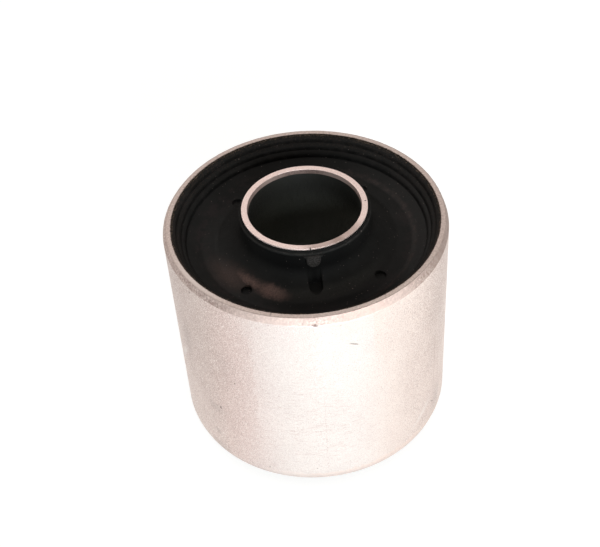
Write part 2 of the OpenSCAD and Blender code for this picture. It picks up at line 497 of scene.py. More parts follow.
def mould_marks_tree():
    """Sinks a circle of pin holes and the gate's slot into the rubber and adds the gate tab."""
    tree, bench, given = geometry_tree("mould marks", (
        ("Geometry", "NodeSocketGeometry"),
        ("Pins", "NodeSocketInt"),
        ("Pin Circle", "NodeSocketFloat"),
        ("First Pin", "NodeSocketFloat"),
        ("Pin", "NodeSocketObject"),
        ("Slot", "NodeSocketObject"),
        ("Tab", "NodeSocketObject"),
        ("Material", "NodeSocketMaterial"),
    ))

    def shape_of(label):
        return bench.node("GeometryNodeObjectInfo", {"Object": given[label]}).outputs["Geometry"]

    circle = bench.node("GeometryNodeMeshCircle", {"Vertices": given["Pins"], "Radius": given["Pin Circle"]})
    turned = bench.node("GeometryNodeTransform", {
        "Geometry": circle.outputs[0],
        "Rotation": bench.joined(0.0, 0.0, given["First Pin"]),
    }).outputs[0]
    pins = bench.node("GeometryNodeInstanceOnPoints", {"Points": turned, "Instance": shape_of("Pin")}).outputs[0]
    pins = bench.node("GeometryNodeRealizeInstances", {"Geometry": pins}).outputs[0]
    cut = bench.node("GeometryNodeMeshBoolean", operation="DIFFERENCE", solver="MANIFOLD")
    bench.feed(cut.inputs["Mesh 1"], given["Geometry"])
    bench.feed(cut.inputs["Mesh 2"], pins)
    bench.feed(cut.inputs["Mesh 2"], shape_of("Slot"))
    joined = bench.node("GeometryNodeMeshBoolean", operation="UNION", solver="MANIFOLD")
    bench.feed(joined.inputs["Mesh 2"], cut.outputs["Mesh"])
    bench.feed(joined.inputs["Mesh 2"], shape_of("Tab"))
    close_tree(bench, joined.outputs["Mesh"], given["Material"])
    return tree


def make_rubber(material):
    rubber = turned_piece("rubber_moulding", rubber_outline(), material, 320, 26.0, 4.0, 130.0)
    helpers = [
        turned_piece("pin_cutter", pin_cutter_outline(), material, 40),
        slot_cutter(),
        gate_tab(),
    ]
    add_tree(rubber, mould_marks_tree(), {
        "Pins": PIN_COUNT,
        "Pin Circle": PIN_CIRCLE * MM,
        "First Pin": math.radians(PIN_ANGLE),
        "Pin": helpers[0],
        "Slot": helpers[1],
        "Tab": helpers[2],
        "Material": material,
    })
    fix_mesh(rubber)
    for helper in helpers:
        bpy.data.objects.remove(helper)
    return rubber


# Effects that several finishes share

def effect(name, inputs, outputs):
    """An empty shader group. An input's default says whether it is a value or a vector."""
    tree = bpy.data.node_groups.new(name, "ShaderNodeTree")
    for label, default in inputs.items():
        kind = "NodeSocketFloat" if isinstance(default, float) else "NodeSocketVector"
        tree.interface.new_socket(label, in_out="INPUT", socket_type=kind).default_value = default
    for label in outputs:
        tree.interface.new_socket(label, in_out="OUTPUT", socket_type="NodeSocketFloat")
    bench = Bench(tree)
    return tree, bench, bench.node("NodeGroupInput").outputs


ORIGIN = (0.0, 0.0, 0.0)


def grain_effect():
    """Cloudy grain of one size, stretched along the axes as asked."""
    tree, bench, given = effect("grain", {
        "Position": ORIGIN, "Stretch": (1.0, 1.0, 1.0), "Size": 1.0, "Contrast": 0.3, "Offset": ORIGIN,
    }, ["Shade"])
    spot = bench.vector("MULTIPLY", bench.vector("ADD", given["Position"], given["Offset"]), given["Stretch"])
    cloud = bench.node("ShaderNodeTexNoise", {
        "Vector": spot, "Scale": bench.math("DIVIDE", 1.0, given["Size"]), "Detail": 4.0, "Roughness": 0.6,
    }).outputs["Fac"]
    low = bench.math("SUBTRACT", 0.5, bench.math("MULTIPLY", given["Contrast"], 0.5))
    high = bench.math("ADD", 0.5, bench.math("MULTIPLY", given["Contrast"], 0.5))
    bench.node("NodeGroupOutput", {"Shade": bench.ramp(cloud, low, high)})
    return tree


def specks_effect():
    """Scattered specks: a share of the cells of a given spacing holds one."""
    tree, bench, given = effect("specks", {
        "Position": ORIGIN, "Spacing": 2.0, "Size": 0.1, "Share": 0.3,
    }, ["Mask"])
    cells = bench.node("ShaderNodeTexVoronoi", {
        "Vector": given["Position"], "Scale": bench.math("DIVIDE", 1.0, given["Spacing"]),
    })
    random = bench.parts(cells.outputs["Color"])
    held = bench.math("LESS_THAN", random["X"], given["Share"])
    reach = bench.math("MULTIPLY", given["Size"], bench.math("ADD", 0.4, random["Y"]))
    away = bench.math("MULTIPLY", cells.outputs["Distance"], given["Spacing"])
    near = bench.ramp(away, bench.math("MULTIPLY", reach, 0.5), reach, 1.0, 0.0)
    level = bench.math("ADD", 0.35, bench.math("MULTIPLY", random["Z"], 0.65))
    bench.node("NodeGroupOutput", {"Mask": bench.math("MULTIPLY", bench.math("MULTIPLY", near, held), level)})
    return tree


def ring_place_effect():
    """Where a point lies on a ring: its distance from the axis, its turn from the front and its height."""
    tree, bench, given = effect("ring place", {"Position": ORIGIN}, ["Radius", "Turn", "Height"])
    place = bench.parts(given["Position"])
    flat = bench.math("SQRT", bench.math("ADD", bench.math("POWER", bench.math("ABSOLUTE", place["X"]), 2.0),
                                         bench.math("POWER", bench.math("ABSOLUTE", place["Y"]), 2.0)))
    turn = bench.math("ARCTAN2", place["X"], bench.math("MULTIPLY", place["Y"], -1.0))
    bench.node("NodeGroupOutput", {
        "Radius": flat,
        "Turn": bench.math("DEGREES", turn),
        "Height": place["Z"],
    })
    return tree


def mark_effect():
    """One soft-edged mark on a surface, at a place in two directions, leaning by a slope."""
    tree, bench, given = effect("mark", {
        "Across": 0.0, "Along": 0.0, "At Across": 0.0, "At Along": 0.0,
        "Half Width": 1.0, "Half Height": 1.0, "Slope": 0.0, "Softness": 0.5,
    }, ["Mask"])
    across = bench.math("SUBTRACT", given["Across"], given["At Across"])
    along = bench.math("SUBTRACT", given["Along"], given["At Along"])
    along = bench.math("SUBTRACT", along, bench.math("MULTIPLY", across, given["Slope"]))
    width = bench.math("POWER", bench.math("ABSOLUTE", bench.math("DIVIDE", across, given["Half Width"])), 2.0)
    height = bench.math("POWER", bench.math("ABSOLUTE", bench.math("DIVIDE", along, given["Half Height"])), 2.0)
    away = bench.math("SQRT", bench.math("ADD", width, height))
    inner = bench.math("SUBTRACT", 1.0, given["Softness"])
    outer = bench.math("ADD", 1.0, given["Softness"])
    bench.node("NodeGroupOutput", {"Mask": bench.ramp(away, inner, outer, 1.0, 0.0)})
    return tree


GRAIN = grain_effect()
SPECKS = specks_effect()
RING_PLACE = ring_place_effect()
MARK = mark_effect()
TURNED = turned_tree()


class Finish(Bench):
    """One material: a shader, the place on the piece in millimetres, and the shared effects."""

    def __init__(self, name):
        self.material = bpy.data.materials.new(name)
        self.material.use_nodes = True
        super().__init__(self.material.node_tree)
        self.tree.nodes.clear()
        self.shader = self.node("ShaderNodeBsdfPrincipled")
        self.node("ShaderNodeOutputMaterial", {"Surface": self.shader.outputs[0]})
        place = self.node("ShaderNodeTexCoord").outputs["Object"]
        self.position = self.vector("MULTIPLY", place, (1 / MM,) * 3)
        ring = self.node("ShaderNodeGroup", {"Position": self.position}, node_tree=RING_PLACE).outputs
        self.radius, self.turn, self.height = ring["Radius"], ring["Turn"], ring["Height"]

    def grain(self, size, contrast=0.3, stretch=(1.0, 1.0, 1.0), offset=ORIGIN):
        inputs = {"Position": self.position, "Stretch": stretch, "Size": size, "Contrast": contrast,
                  "Offset": offset}
        return self.node("ShaderNodeGroup", inputs, node_tree=GRAIN).outputs[0]

    def specks(self, spacing, size, share):
        inputs = {"Position": self.position, "Spacing": spacing, "Size": size, "Share": share}
        return self.node("ShaderNodeGroup", inputs, node_tree=SPECKS).outputs[0]

    def marks(self, along, rows):
        """The strongest of several marks at each point, placed by turn and by height or radius."""
        total = 0.0
        for row in rows:
            inputs = {"Across": self.turn, "Along": along, "At Across": row.turn, "At Along": row.at,
                      "Half Width": row.half_turn, "Half Height": row.half_along,
                      "Slope": row.slope, "Softness": row.soft}
            mask = self.node("ShaderNodeGroup", inputs, node_tree=MARK).outputs[0]
            total = self.math("MAXIMUM", mask, total)
        return total

    def edge(self, turn, at, reach):
        """1 before a line along the axis and 0 after it, over a reach to both sides."""
        return self.ramp(turn, self.math("SUBTRACT", at, reach), self.math("ADD", at, reach), 1.0, 0.0)

    def times(self, mask, share):
        return self.math("MULTIPLY", mask, share)

    def uneven(self, value, grain, reach):
        """The value moved to and fro by a grain, for ragged edges."""
        return self.math("MULTIPLY_ADD", self.math("SUBTRACT", grain, 0.5), reach, value)

    def glinted(self, grain, dark, colour, light):
        """A colour with dark pits and bright glints where the grain is low and high."""
        colour = self.blend(self.ramp(grain, 0.5, 0.0, 0.0, 0.9), colour, dark)
        return self.blend(self.ramp(grain, 0.5, 1.0, 0.0, 0.9), colour, light)

    def bump(self, height, depth, strength=1.0):
        inputs = {"Height": height, "Distance": depth * MM, "Strength": strength}
        self.feed(self.shader.inputs["Normal"], self.node("ShaderNodeBump", inputs).outputs[0])

    def set(self, **sockets):
        for name, value in sockets.items():
            self.feed(self.shader.inputs[name.replace("_", " ")], value)


# Finishes

Mark = namedtuple("Mark", "turn at half_turn half_along slope soft", defaults=(0.0, 0.5))

# Marks on the outer wall: turn from the front in degrees, height from the top end in millimetres, half sizes
# in degrees and millimetres, slope in millimetres per degree, softness of the edge
KNOCKS = (
    Mark(0.4, -1.95, 0.9, 0.3),
    Mark(14.9, -9.6, 1.7, 0.2, -0.28, 0.4),
    Mark(-54.2, -2.6, 0.5, 0.25),
    Mark(-35.0, -25.3, 0.35, 0.2),
    Mark(-44.9, -37.75, 0.5, 0.45),
    Mark(-2.5, -51.7, 0.25, 0.15),
    Mark(-23.0, -53.0, 0.25, 0.15),
    Mark(58.4, -48.6, 1.1, 0.15, -0.5, 0.4),
)
SCRATCHES = (
    Mark(2.2, -41.0, 0.14, 13.0, 0.0, 0.8),
    Mark(34.0, -54.2, 26.0, 0.3, 0.0, 0.6),
    Mark(-3.0, -37.5, 14.0, 0.12, 0.0, 0.8),
    Mark(-13.0, -29.4, 3.0, 0.12, 0.0, 0.8),
    Mark(-10.0, -24.0, 3.0, 0.12, 0.0, 0.8),
    Mark(63.5, -37.0, 0.35, 4.0, 0.0, 0.8),
    Mark(60.0, -51.0, 0.4, 2.5, 0.0, 0.8),
)
SIDE_LINES = (
    Mark(59.6, -34.0, 0.45, 9.0, 0.0, 0.4),
)
STAINS = (
    Mark(-63.5, -22.0, 4.0, 5.0, 0.4, 0.7),
    Mark(-47.5, -39.0, 4.0, 1.2, 0.0, 0.9),
    Mark(-48.0, -54.0, 5.0, 1.5, 0.0, 0.8),
    Mark(-39.0, -21.0, 4.0, 5.0, 0.0, 0.9),
    Mark(-48.8, -48.6, 1.6, 0.8, 0.0, 0.8),
    Mark(62.5, -50.5, 3.5, 4.5, 0.0, 0.8),
)
# The front of the wall is painted paler as a painted highlight, and a patch of painted shade on its left ends at a
# straight edge
FRONT_HIGHLIGHT = (
    Mark(6.0, -28.0, 34.0, 200.0, 0.0, 0.5),
)
PINK_BAND = (
    Mark(-29.0, -26.0, 13.0, 60.0, 0.0, 0.8),
    Mark(-16.0, -3.0, 16.0, 6.0, 0.0, 0.8),
)
FRONT_TINGE = (
    Mark(17.0, -2.0, 10.0, 5.0, 0.0, 0.7),
)
# Turns at which the painted highlight turns pinker, and at which the painted shade patch on the left ends
HIGHLIGHT_EDGE, SHADE_EDGE = 23.0, -26.0
# Painted shade on the left of the wall
SHADE_PATCH = (
    Mark(-40.0, -22.0, 30.0, 24.0, 0.0, 0.6),
)
# Painted shade at the top of the wall, on the left and on the right
TOP_SIDE_SHADE = (
    Mark(-58.0, 0.0, 44.0, 28.0, 0.0, 0.8),
    Mark(68.0, -8.0, 16.0, 24.0, 0.0, 0.8),
)
DASHED = (
    Mark(-4.0, -37.0, 30.0, 16.0, 0.0, 0.8),
)
RUBBED = (
    Mark(50.0, -48.0, 5.5, 0.8, 0.35, 0.8),
    Mark(-71.0, -30.5, 5.0, 1.2, 0.68, 0.9),
    Mark(3.0, -3.2, 2.0, 0.5, 0.0, 0.9),
)
# The chamfer is painted lighter at the front as a painted highlight, and darker on the right as painted shade
BEVEL_HIGHLIGHT = (
    Mark(-19.0, 0.0, 14.0, 200.0, 0.0, 0.4),
    Mark(30.0, 0.0, 12.0, 200.0, 0.0, 0.5),
)
BEVEL_SHADE = (
    Mark(84.0, 0.0, 32.0, 200.0, 0.0, 0.4),
)
# Marks on the sleeve's top face, by radius
RIM_TICKS = (
    Mark(-16.5, 31.6, 0.3, 0.6, 0.0, 0.6),
)
RIM_NICKS = (
    Mark(-147.5, 31.2, 0.6, 0.5, 0.0, 0.5),
    Mark(-54.0, 31.6, 14.0, 0.6, 0.0, 0.9),
)


def outer_steel():
    """Blasted pale steel: glinting grain, faint drawn streaks, duller cut ends, knocks and stains, with a painted
    highlight on the front of the wall and the chamfer and painted shade beside it.
    """
    finish = Finish("blasted_steel")
    glints = finish.grain(0.24, 0.5)
    grains = finish.grain(0.5, 0.5)
    blotches = finish.grain(2.4, 0.4)
    clouds = finish.grain(13.0, 0.35)
    streaks = finish.grain(1.1, 0.4, stretch=(1.0, 1.0, 0.03))
    from_top = finish.uneven(finish.math("SUBTRACT", finish.height, OUTER_END), grains, 0.2)

    wall = finish.blend(clouds, (0.74, 0.605, 0.552, 1.0), (0.86, 0.73, 0.668, 1.0))
    streaked = finish.times(streaks, finish.ramp(finish.turn, 48.0, 64.0, 0.2, 0.35))
    wall = finish.blend(streaked, wall, (0.64, 0.53, 0.49, 1.0))
    wall = finish.blend(finish.times(blotches, 0.2), wall, (0.66, 0.54, 0.50, 1.0))
    stains = finish.times(finish.marks(from_top, STAINS), 0.4)
    wall = finish.blend(stains, wall, (0.42, 0.34, 0.31, 1.0))
    # Painted shade: the top of the wall is darker on the left and on the right
    top_side_shade = finish.times(finish.marks(from_top, TOP_SIDE_SHADE), 0.40)
    wall = finish.blend(top_side_shade, wall, (0.42, 0.34, 0.31, 1.0))
    # Painted shade on the left of the wall, ending at a ragged straight edge where the painted highlight begins
    ragged = finish.uneven(finish.uneven(finish.turn, blotches, 3.0), glints, 2.0)
    off_middle = finish.math("ABSOLUTE", finish.math("ADD", from_top, 22.0))
    dull = finish.edge(ragged, SHADE_EDGE, finish.ramp(off_middle, 8.0, 22.0, 0.6, 7.0))
    dull = finish.times(dull, finish.marks(from_top, SHADE_PATCH))
    wall = finish.blend(finish.times(dull, 0.17), wall, (0.44, 0.31, 0.285, 1.0))
    pink = finish.times(finish.marks(from_top, PINK_BAND), 0.5)
    wall = finish.blend(pink, wall, (0.76, 0.555, 0.52, 1.0))
    wall = finish.glinted(glints, (0.42, 0.31, 0.28, 1.0), wall, (0.95, 0.90, 0.86, 1.0))
    # Painted highlight down the front of the wall: whiter left of its edge, pinker right of it, and dimmer over the
    # painted shade patch
    pale = finish.times(finish.marks(from_top, FRONT_HIGHLIGHT), 0.55)
    pale = finish.times(pale, finish.ramp(dull, 0.0, 1.0, 1.0, 0.6))
    whiter = finish.edge(finish.turn, HIGHLIGHT_EDGE, finish.ramp(from_top, -24.0, -8.0, 13.0, 0.4))
    highlight_colour = finish.blend(whiter, (0.93, 0.83, 0.775, 1.0), (0.90, 0.875, 0.855, 1.0))
    wall = finish.blend(pale, wall, highlight_colour)
    tinge = finish.times(finish.marks(from_top, FRONT_TINGE), 0.22)
    wall = finish.blend(tinge, wall, (0.86, 0.66, 0.60, 1.0))
    pits = finish.times(finish.specks(0.9, 0.16, 0.5), 0.6)
    wall = finish.blend(pits, wall, (0.50, 0.34, 0.31, 1.0))
    scratches = finish.times(finish.marks(from_top, SCRATCHES), finish.ramp(grains, 0.35, 0.8, 0.0, 0.5))
    wall = finish.blend(scratches, wall, (0.54, 0.38, 0.345, 1.0))
    lines = finish.times(finish.marks(from_top, SIDE_LINES), finish.ramp(grains, 0.0, 0.8, 0.15, 0.5))
    wall = finish.blend(lines, wall, (0.50, 0.36, 0.32, 1.0))
    dashes = finish.ramp(finish.grain(0.8, 0.6, stretch=(0.38, 0.38, 2.4)), 0.62, 0.9, 0.0, 0.36)
    dashes = finish.times(dashes, finish.marks(from_top, DASHED))
    wall = finish.blend(dashes, wall, (0.56, 0.40, 0.365, 1.0))
    rubbed = finish.times(finish.marks(from_top, RUBBED), 0.4)
    wall = finish.blend(rubbed, wall, (0.92, 0.87, 0.84, 1.0))

    low = finish.ramp(finish.uneven(from_top, blotches, 1.0), 3.0 - 2 * OUTER_END, 2.0 - 2 * OUTER_END, 0.0, 0.5)
    low = finish.times(low, finish.ramp(finish.turn, -30.0, 5.0))
    wall = finish.blend(low, wall, (0.88, 0.72, 0.655, 1.0))

    bevel = finish.glinted(grains, (0.34, 0.25, 0.22, 1.0), (0.56, 0.45, 0.41, 1.0), (0.80, 0.69, 0.64, 1.0))
    mottled = finish.ramp(finish.grain(1.3, 0.5, offset=(7.0, 0.0, 0.0)), 0.5, 0.9, 0.0, 0.4)
    bevel = finish.blend(mottled, bevel, (0.34, 0.21, 0.19, 1.0))
    # Painted shade on the chamfer's right
    shaded = finish.times(finish.marks(from_top, BEVEL_SHADE), 0.65)
    bevel = finish.blend(shaded, bevel, (0.30, 0.23, 0.20, 1.0))
    # Painted highlight on the chamfer at the front
    worn = finish.times(finish.marks(from_top, BEVEL_HIGHLIGHT), 0.45)
    bevel = finish.blend(worn, bevel, (0.80, 0.655, 0.60, 1.0))
    tinged = finish.times(finish.marks(from_top, FRONT_TINGE), 0.4)
    bevel = finish.blend(tinged, bevel, (0.68, 0.46, 0.40, 1.0))
    on_bevel = finish.ramp(finish.radius, OUTER_R - 0.06, OUTER_R - 0.012, 1.0, 0.0)
    on_bevel = finish.times(on_bevel, finish.ramp(finish.height, -1.0, 1.0, 0.15, 1.0))
    colour = finish.blend(on_bevel, wall, bevel)

    face = finish.glinted(grains, (0.50, 0.405, 0.37, 1.0), (0.66, 0.55, 0.505, 1.0), (0.80, 0.69, 0.64, 1.0))
    outer_edge = finish.math("ABSOLUTE", finish.math("SUBTRACT", finish.radius, OUTER_R - CHAMFER_R))
    face = finish.blend(finish.ramp(outer_edge, 0.05, 0.3, 0.45, 0.0), face, (0.34, 0.26, 0.23, 1.0))
    ticks = finish.times(finish.marks(finish.radius, RIM_TICKS), 0.5)
    face = finish.blend(ticks, face, (0.20, 0.15, 0.13, 1.0))
    nicks = finish.times(finish.marks(finish.radius, RIM_NICKS), 0.5)
    face = finish.blend(nicks, face, (0.86, 0.79, 0.75, 1.0))
    on_face = finish.ramp(finish.height, OUTER_END - 0.07, OUTER_END - 0.03)
    colour = finish.blend(on_face, colour, face)

    flashed = finish.math("ABSOLUTE", finish.math("ADD", finish.turn, 135.0))
    reach = finish.ramp(flashed, 20.0, 60.0, RUBBER_R + 0.1, RUBBER_R + 0.1)
    edge = finish.math("SUBTRACT", finish.uneven(finish.radius, glints, 0.5), reach)
    colour = finish.blend(finish.ramp(edge, 0.1, -0.1, 0.0, 0.85), colour, (0.075, 0.052, 0.042, 1.0))

    knocks = finish.marks(from_top, KNOCKS)
    colour = finish.blend(finish.times(knocks, 0.75), colour, (0.16, 0.09, 0.07, 1.0))
    roughness = finish.ramp(grains, 0.1, 0.9, 0.40, 0.54)
    roughness = finish.math("MULTIPLY_ADD", on_bevel, 0.16, roughness)
    finish.set(Base_Color=colour, Metallic=0.8, Roughness=roughness)
    relief = finish.math("MULTIPLY_ADD", glints, 0.4, finish.times(grains, 0.6))
    finish.bump(finish.math("MULTIPLY_ADD", knocks, -3.0, relief), 0.05, 0.6)
    return finish.material


# Warm blooming on the rubber's top end, partly a painted sheen: turn from the front, radius and half sizes
BLOOM_AND_SHEEN = (
    Mark(-27.0, 19.7, 10.0, 1.4, 0.02, 0.7),
    Mark(-44.0, 19.4, 12.0, 0.9, 0.0, 0.95),
)
FAINT_BLOOM_AND_SHEEN = (
    Mark(-58.0, 21.2, 14.0, 2.2, -0.05, 0.95),
)
# Marks by radius: painted shade on the collar and the front of the floor, pins with less painted shade, a paler toe,
# a painted highlight on the crease and painted shade in the grooves between the steps
COLLAR_FRONT_SHADE = (
    Mark(0.0, COLLAR_R, 36.0, 20.0, 0.0, 0.6),
)
TOE_PALE_PATCH = (
    Mark(17.0, 19.4, 36.0, 1.5, 0.0, 0.5),
)
FRONT_FLOOR_SHADOW = (
    Mark(8.0, 23.2, 36.0, 1.6, 0.0, 0.5),
)
PINS_LESS_SHADED = (
    Mark(48.0, PIN_CIRCLE, 6.0, 2.0, 0.0, 0.2),
    Mark(138.0, PIN_CIRCLE, 6.0, 2.0, 0.0, 0.2),
    Mark(-132.0, PIN_CIRCLE, 6.0, 2.0, 0.0, 0.2),
)
CREASE_HIGHLIGHT = (
    Mark(95.0, CREASE_R - 0.2, 66.0, 0.45, 0.0, 0.9),
)
GROOVE_SHADE = tuple(Mark(0.0, RUBBER_R - i * STEP_RUN, 1000.0, 0.11, 0.0, 0.6) for i in range(1, STEP_COUNT + 1))


RUBBER_GLOSS = 0.08


def rubber():
    """Black moulded rubber: dull warm blooming that is partly a painted sheen, brown dust on the beads, pale specks
    and a torn gate, with painted shade in its hollows and under the lip and painted highlights on the crease and
    lip.
    """
    finish = Finish("moulded_rubber")
    fine = finish.grain(0.3, 0.5)
    peel = finish.grain(1.6, 0.4)
    clouds = finish.grain(7.0, 0.4)
    colour = finish.blend(clouds, (0.0103, 0.0101, 0.0096, 1.0), (0.0146, 0.0141, 0.0133, 1.0))

    # Brown dust on the floor, from the toe out to the crease
    lightened = finish.ramp(finish.radius, TOE_R - 1.0, CREASE_R)
    lightened = finish.times(lightened, finish.ramp(finish.radius, CREASE_R + 1.2, CREASE_R, 0.3, 1.0))
    lightened = finish.times(lightened, finish.ramp(finish.times(peel, clouds), 0.1, 0.6, 0.0, 0.6))
    colour = finish.blend(lightened, colour, (0.027, 0.0205, 0.0205, 1.0))
    on_beads = finish.ramp(finish.radius, RUBBER_R - 3.0, RUBBER_R - 0.5)
    brown = finish.times(finish.ramp(fine, 0.5, 1.0), on_beads)
    colour = finish.blend(finish.times(brown, 0.7), colour, (0.050, 0.034, 0.026, 1.0))
    at_rim = finish.ramp(finish.uneven(finish.radius, peel, 0.4), RUBBER_R - 0.4, RUBBER_R - 0.1)
    fringe = finish.times(finish.ramp(fine, 0.3, 0.9), at_rim)
    colour = finish.blend(fringe, colour, (0.115, 0.082, 0.060, 1.0))
    # Painted highlight: a pale broken line along the crease on the right
    broken = finish.ramp(finish.math("MULTIPLY", fine, peel), 0.0, 0.6, 0.2, 0.85)
    crease = finish.times(finish.marks(finish.radius, CREASE_HIGHLIGHT), broken)
    colour = finish.blend(crease, colour, (0.046, 0.034, 0.031, 1.0))
    # Painted shade in the grooves between the steps
    groove_shade = finish.marks(finish.radius, GROOVE_SHADE)
    colour = finish.blend(finish.times(groove_shade, finish.ramp(peel, 0.0, 1.0, 0.5, 0.15)), colour, (0.002, 0.002, 0.002, 1.0))
    # A warm patch on the floor at the front left: blooming of the rubber, partly a painted sheen
    ragged = finish.uneven(finish.radius, peel, 0.7)
    faint = finish.times(finish.marks(ragged, FAINT_BLOOM_AND_SHEEN), 0.42)
    bloom_and_sheen = finish.math("MAXIMUM", finish.marks(ragged, BLOOM_AND_SHEEN), faint)
    bloom_and_sheen = finish.times(bloom_and_sheen, finish.ramp(finish.height, FLOOR_Z - 0.4, FLOOR_Z - 0.1))
    bloom_and_sheen = finish.times(bloom_and_sheen, finish.ramp(fine, 0.0, 1.0, 0.6, 1.0))
    colour = finish.blend(bloom_and_sheen, colour, (0.130, 0.080, 0.068, 1.0))

    # A paler patch on the front of the toe
    cone = finish.times(finish.marks(finish.radius, TOE_PALE_PATCH), finish.ramp(fine, 0.0, 1.0, 0.07, 0.15))
    colour = finish.blend(cone, colour, (0.105, 0.100, 0.088, 1.0))
    # Painted shadow of the front rim on the front of the floor
    painted_lighting = finish.times(finish.marks(finish.radius, FRONT_FLOOR_SHADOW), 0.6)
    colour = finish.blend(painted_lighting, colour, (0.002, 0.002, 0.002, 1.0))
    level = finish.math("ABSOLUTE", finish.height)
    # Painted shade on the collar wall under the lip, strongest at the front, and a darker band on the film above the
    # lip
    collar = finish.ramp(finish.radius, COLLAR_R + 2.2, COLLAR_R + 0.3)
    collar = finish.times(collar, finish.ramp(finish.marks(finish.radius, COLLAR_FRONT_SHADE), 0.0, 1.0, 0.6, 1.0))
    collar = finish.times(collar, finish.ramp(level, OUTER_END - 4.4, OUTER_END - 1.6))
    collar = finish.times(collar, finish.ramp(level, LIP_Z - 0.45, LIP_Z - 0.8))
    film = finish.times(finish.ramp(level, LIP_Z - 0.02, LIP_Z + 0.1), 0.5)
    lip_shade_and_dark_film = finish.math("MAXIMUM", collar, film)
    colour = finish.blend(finish.times(lip_shade_and_dark_film, 0.85), colour, (0.0015, 0.0015, 0.0015, 1.0))
    # Painted highlight: a pale broken line along the lip's rounded edge
    on_lip = finish.times(finish.ramp(finish.radius, LIP_R - 0.45, LIP_R - 0.3), finish.ramp(level, LIP_Z - 0.4, LIP_Z - 0.15))
    lip = finish.times(on_lip, finish.ramp(peel, 0.2, 0.9, 0.0, 0.1))
    colour = finish.blend(lip, colour, (0.105, 0.095, 0.085, 1.0))

    tab = Mark(GATE_ANGLE + 90.0, LIP_Z - TAB_H / 2, 7.0, TAB_H / 2, 0.0, 0.2)
    torn = finish.times(finish.ramp(finish.radius, LIP_R + 0.12, LIP_R + 0.3), finish.marks(finish.height, [tab]))
    torn_colour = finish.blend(fine, (0.010, 0.009, 0.008, 1.0), (0.040, 0.036, 0.034, 1.0))
    colour = finish.blend(torn, colour, torn_colour)
    dust = finish.math("MAXIMUM", finish.specks(1.7, 0.15, 0.3), finish.specks(0.7, 0.10, 0.3))
    colour = finish.blend(dust, colour, (0.15, 0.122, 0.112, 1.0))

    # Painted shade in the pin holes, weaker in three of them, and on the slot's walls under the tab
    hollow_shade = finish.ramp(finish.height, FLOOR_Z - 0.4, FLOOR_Z - 0.1, 1.0, 0.0)
    hollow_shade = finish.times(hollow_shade, finish.ramp(finish.height, 0.0, 1.0))
    hollow_shade = finish.times(hollow_shade, finish.ramp(finish.radius, 19.6, 20.0))
    hollow_shade = finish.times(hollow_shade, finish.ramp(finish.marks(finish.radius, PINS_LESS_SHADED), 0.0, 1.0, 1.0, 0.0))
    slot = Mark(GATE_ANGLE + 90.0, COLLAR_R + SLOT_RUN / 2, 5.2, SLOT_RUN / 2 + 0.2, 0.0, 0.1)
    under_tab = finish.ramp(finish.height, LIP_Z - TAB_H + 0.3, LIP_Z - TAB_H - 0.2)
    under_tab = finish.times(under_tab, finish.ramp(finish.height, FLOOR_Z - 0.1, FLOOR_Z + 0.4))
    hollow_shade = finish.math("MAXIMUM", hollow_shade, finish.times(finish.marks(finish.radius, [slot]), under_tab))
    colour = finish.blend(finish.times(hollow_shade, 0.5), colour, (0.003, 0.003, 0.003, 1.0))

    # Painted light: the slot's floor is lighter than the rubber around it
    in_slot = finish.times(finish.ramp(finish.radius, 19.9, 19.6), finish.ramp(finish.height, 0.0, 1.0))
    in_slot = finish.times(in_slot, finish.ramp(finish.height, FLOOR_Z, FLOOR_Z - 0.2, 0.0, 0.6))
    colour = finish.blend(in_slot, colour, (0.024, 0.0235, 0.022, 1.0))

    dull = finish.math("MAXIMUM", torn, on_beads)
    roughness = finish.ramp(finish.math("MULTIPLY_ADD", peel, 0.5, finish.times(clouds, 0.5)), 0.2, 0.8, 0.40, 0.52)
    roughness = finish.math("MULTIPLY_ADD", dull, 0.25, roughness)
    on_hub = finish.ramp(finish.radius, TOE_R, COLLAR_R + 2.0)
    roughness = finish.math("MULTIPLY_ADD", on_hub, 0.3, roughness)
    finish.set(Base_Color=colour, Roughness=roughness, Specular_IOR_Level=RUBBER_GLOSS)
    finish.bump(finish.math("MULTIPLY_ADD", fine, 0.4, peel), 0.02, 0.5)
    return finish.material


# Marks on the inner sleeve's top end face, by radius
SAW_NOTCHES = (
    Mark(2.0, 14.35, 0.55, 0.25, 0.0, 0.3),
    Mark(91.0, 14.0, 0.6, 0.2, 0.0, 0.5),
)
SAW_STAINS = (
    Mark(29.0, 13.9, 6.0, 0.8, 0.0, 0.6),
)
# Painted light: the mouth's band is lighter at the back right and the back left, where light falls on it
MOUTH_LIGHT = (
    Mark(116.0, BORE_R, 38.0, 20.0, 0.0, 0.4),
    Mark(-122.0, BORE_R, 32.0, 20.0, 0.0, 0.5),
)
SAW_DULL = (
    Mark(28.0, 13.8, 30.0, 3.0, 0.0, 0.3),
)


